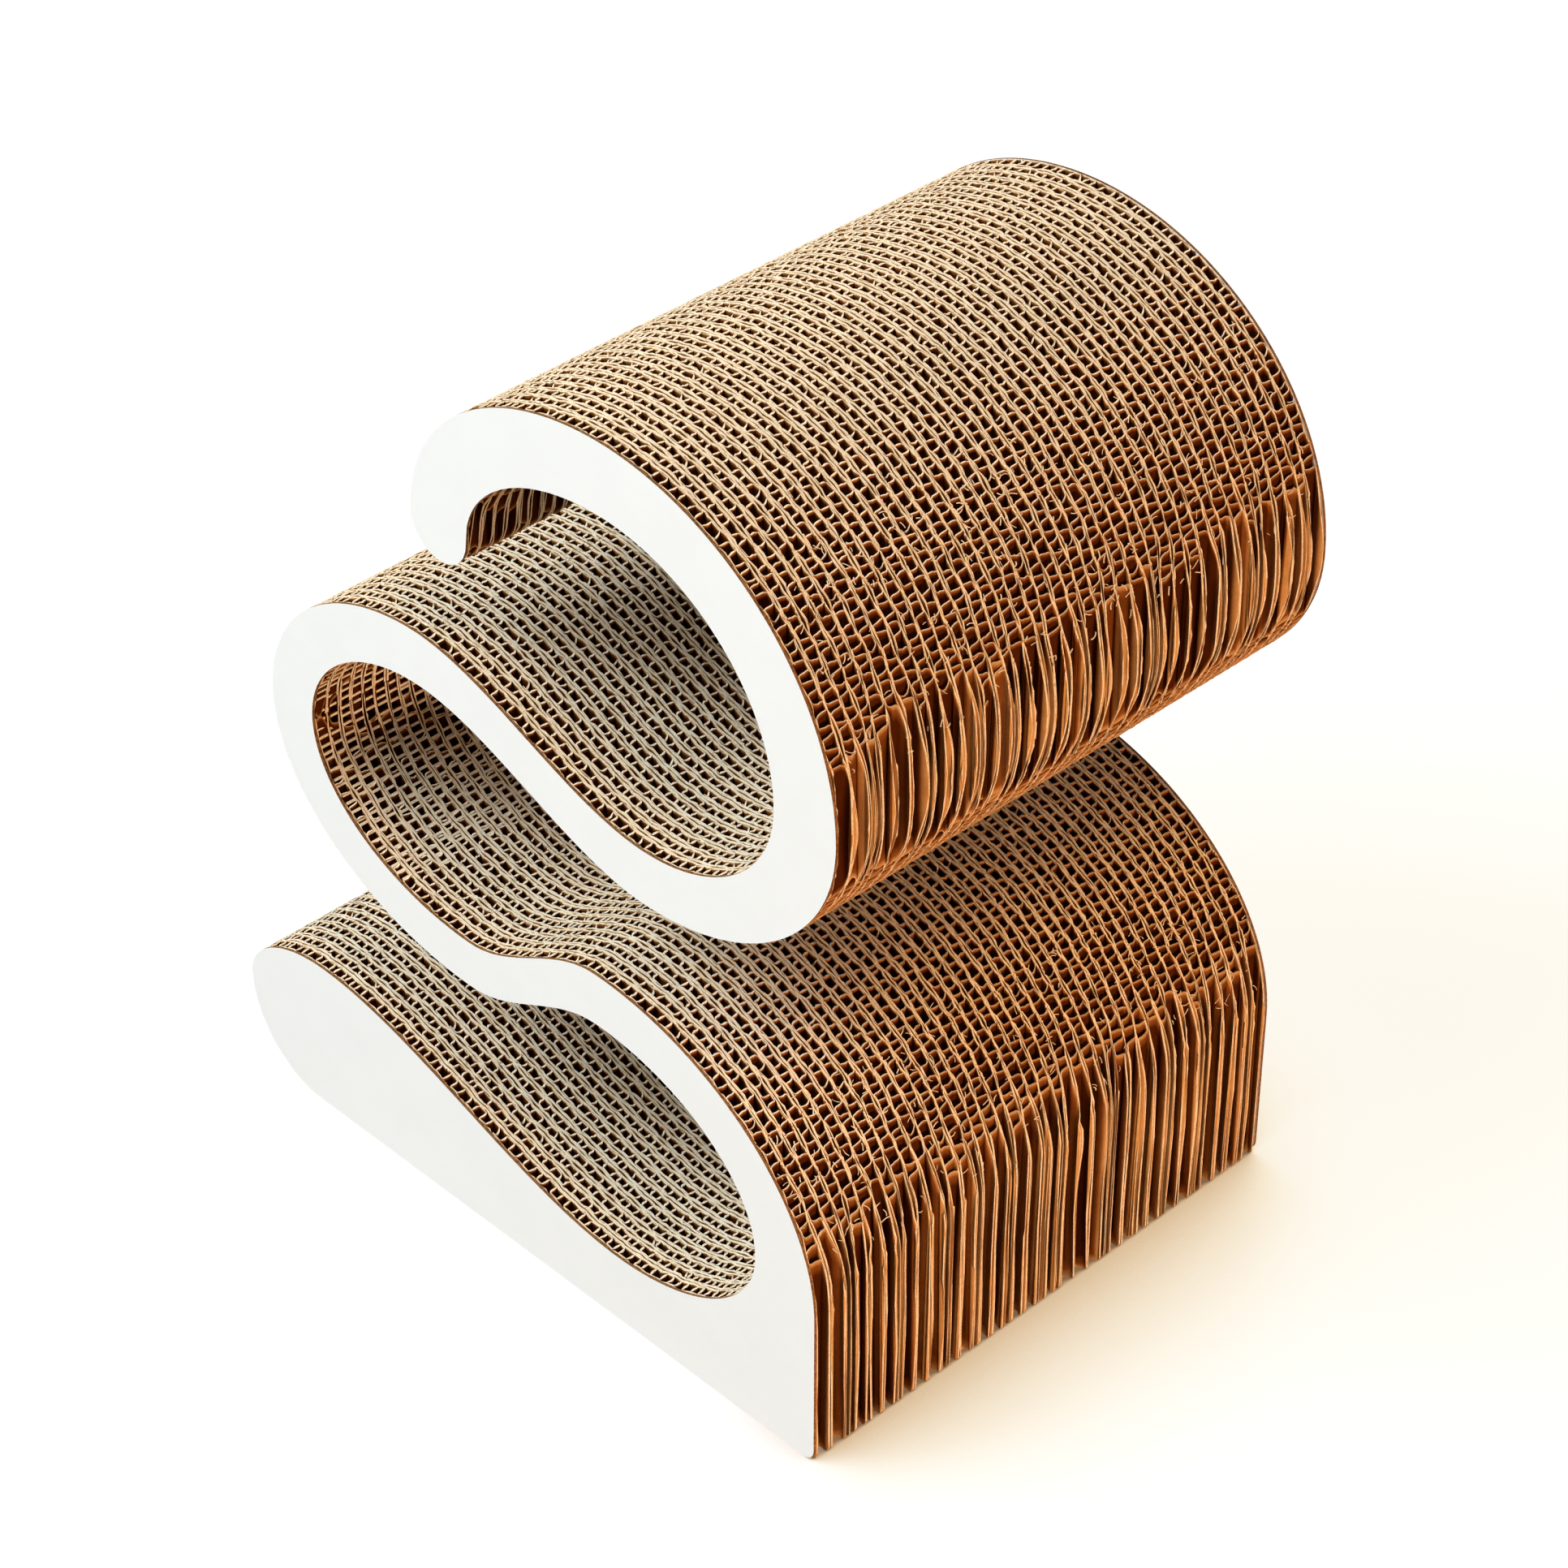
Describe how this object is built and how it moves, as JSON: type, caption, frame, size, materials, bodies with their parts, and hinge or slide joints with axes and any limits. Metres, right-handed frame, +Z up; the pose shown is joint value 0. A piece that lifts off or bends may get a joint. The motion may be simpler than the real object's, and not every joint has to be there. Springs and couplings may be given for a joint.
{
  "type": "wave cat scratch board",
  "caption": "Free-standing cat scratcher: a serpentine wave with a hooked top, cut in a glued stack of upright corrugated boards and closed at both ends by a plain white sheet.",
  "frame": {"origin": "on the floor, under the middle of the object's box", "axes": "+X along the wave, from the low tip of the base towards its upright wall; +Y across the stack of boards, away from the front sheet; +Z up"},
  "size_m": [0.2834, 0.21, 0.3385],
  "materials": {
    "corrugated_kraft": "raw brown kraft board with open cut flutes",
    "white_sheet": "smooth matt white coated sheet"
  },
  "bodies": {
    "root": {"board_01": "corrugated_kraft", "board_02": "corrugated_kraft", "board_03": "corrugated_kraft", "board_04": "corrugated_kraft", "board_05": "corrugated_kraft", "board_06": "corrugated_kraft", "board_07": "corrugated_kraft", "board_08": "corrugated_kraft", "board_09": "corrugated_kraft", "board_10": "corrugated_kraft", "board_11": "corrugated_kraft", "board_12": "corrugated_kraft", "board_13": "corrugated_kraft", "board_14": "corrugated_kraft", "board_15": "corrugated_kraft", "board_16": "corrugated_kraft", "board_17": "corrugated_kraft", "board_18": "corrugated_kraft", "board_19": "corrugated_kraft", "board_20": "corrugated_kraft", "board_21": "corrugated_kraft", "board_22": "corrugated_kraft", "board_23": "corrugated_kraft", "board_24": "corrugated_kraft", "board_25": "corrugated_kraft", "board_26": "corrugated_kraft", "board_27": "corrugated_kraft", "board_28": "corrugated_kraft", "board_29": "corrugated_kraft", "board_30": "corrugated_kraft", "board_31": "corrugated_kraft", "board_32": "corrugated_kraft", "board_33": "corrugated_kraft", "board_34": "corrugated_kraft", "board_35": "corrugated_kraft", "board_36": "corrugated_kraft", "board_37": "corrugated_kraft", "board_38": "corrugated_kraft", "board_39": "corrugated_kraft", "board_40": "corrugated_kraft", "board_41": "corrugated_kraft", "board_42": "corrugated_kraft", "front_face_sheet": "white_sheet", "rear_face_sheet": "white_sheet"}
  },
  "joints": []
}
